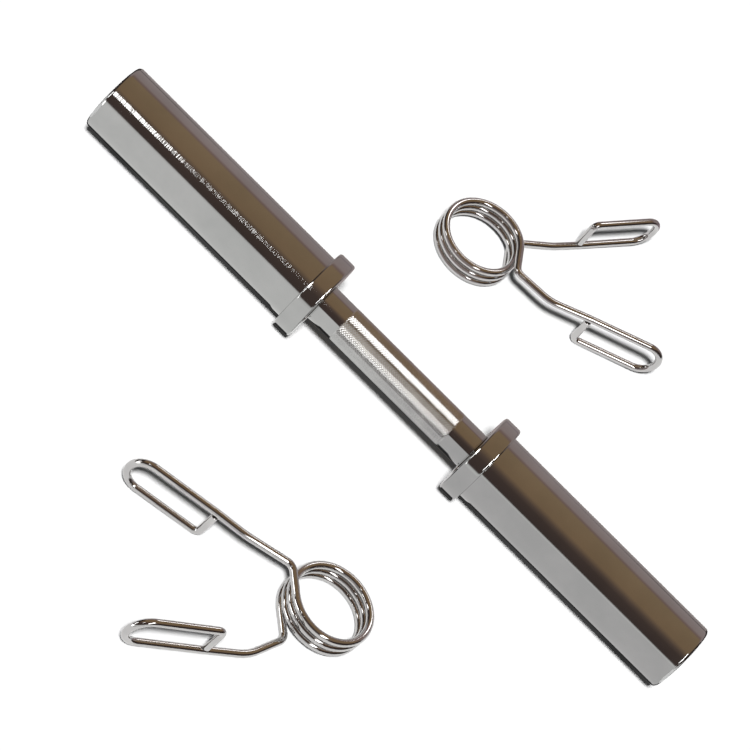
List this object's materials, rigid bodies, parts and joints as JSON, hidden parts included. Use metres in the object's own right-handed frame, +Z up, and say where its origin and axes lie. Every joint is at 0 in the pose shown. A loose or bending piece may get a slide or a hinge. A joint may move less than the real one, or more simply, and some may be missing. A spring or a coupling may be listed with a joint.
{
  "type": "dumbbell handle",
  "caption": "Chrome dumbbell handle with a knurled grip between flanged turning sleeves for plates, lying with its wire spring collars, each with finger loops.",
  "frame": {"origin": "on the floor, under the middle of the handle", "axes": "+X along the handle towards its right sleeve, +Y level towards the far collar, +Z up"},
  "size_m": [0.508, 0.58, 0.0615],
  "materials": {
    "grip_chrome": "polished, with a diamond knurl over the middle",
    "sleeve_chrome": "mirror polished",
    "spring_chrome": "bright plated spring wire",
    "bushing_bronze": "turned, oiled",
    "plain_steel": "plain, lightly oiled"
  },
  "bodies": {
    "handle": {"handle_shaft": "grip_chrome", "right_thrust_washer": "plain_steel", "right_retaining_ring": "plain_steel", "left_thrust_washer": "plain_steel", "left_retaining_ring": "plain_steel"},
    "right_sleeve": {"right_sleeve_tube": "sleeve_chrome", "right_sleeve_flange": "sleeve_chrome", "right_inner_bushing": "bushing_bronze", "right_outer_bushing": "bushing_bronze", "right_end_cap": "sleeve_chrome"},
    "left_sleeve": {"left_sleeve_tube": "sleeve_chrome", "left_sleeve_flange": "sleeve_chrome", "left_inner_bushing": "bushing_bronze", "left_outer_bushing": "bushing_bronze", "left_end_cap": "sleeve_chrome"},
    "far_collar": {"far_collar_coil": "spring_chrome", "far_collar_lower_arm": "spring_chrome"},
    "far_collar_arm": {"far_collar_upper_arm": "spring_chrome"},
    "near_collar": {"near_collar_coil": "spring_chrome", "near_collar_lower_arm": "spring_chrome"},
    "near_collar_arm": {"near_collar_upper_arm": "spring_chrome"}
  },
  "joints": [
    {"name": "right_sleeve_spin", "type": "hinge", "parent": "handle", "child": "right_sleeve", "pos_m": [0, 0, 0.03075], "axis": [1, 0, 0], "continuous": true},
    {"name": "left_sleeve_spin", "type": "hinge", "parent": "handle", "child": "left_sleeve", "pos_m": [0, 0, 0.03075], "axis": [1, 0, 0], "continuous": true},
    {"name": "far_collar_lift", "type": "slide", "parent": "handle", "child": "far_collar", "axis": [0, 0, 1], "range_m": [0, 0.12]},
    {"name": "near_collar_lift", "type": "slide", "parent": "handle", "child": "near_collar", "axis": [0, 0, 1], "range_m": [0, 0.12]},
    {"name": "far_collar_squeeze", "type": "hinge", "parent": "far_collar", "child": "far_collar_arm", "pos_m": [-0.025, 0.16234, 0.01119], "axis": [-0.0387, -0.0262, 0.9989], "range_deg": [0, 28], "stiffness_Nm_per_rad": 12.5, "deforming": ["far_collar_coil"]},
    {"name": "near_collar_squeeze", "type": "hinge", "parent": "near_collar", "child": "near_collar_arm", "pos_m": [0.068, -0.16224, 0.01131], "axis": [0.033, 0.0324, 0.9989], "range_deg": [0, 28], "stiffness_Nm_per_rad": 12.5, "deforming": ["near_collar_coil"]}
  ]
}
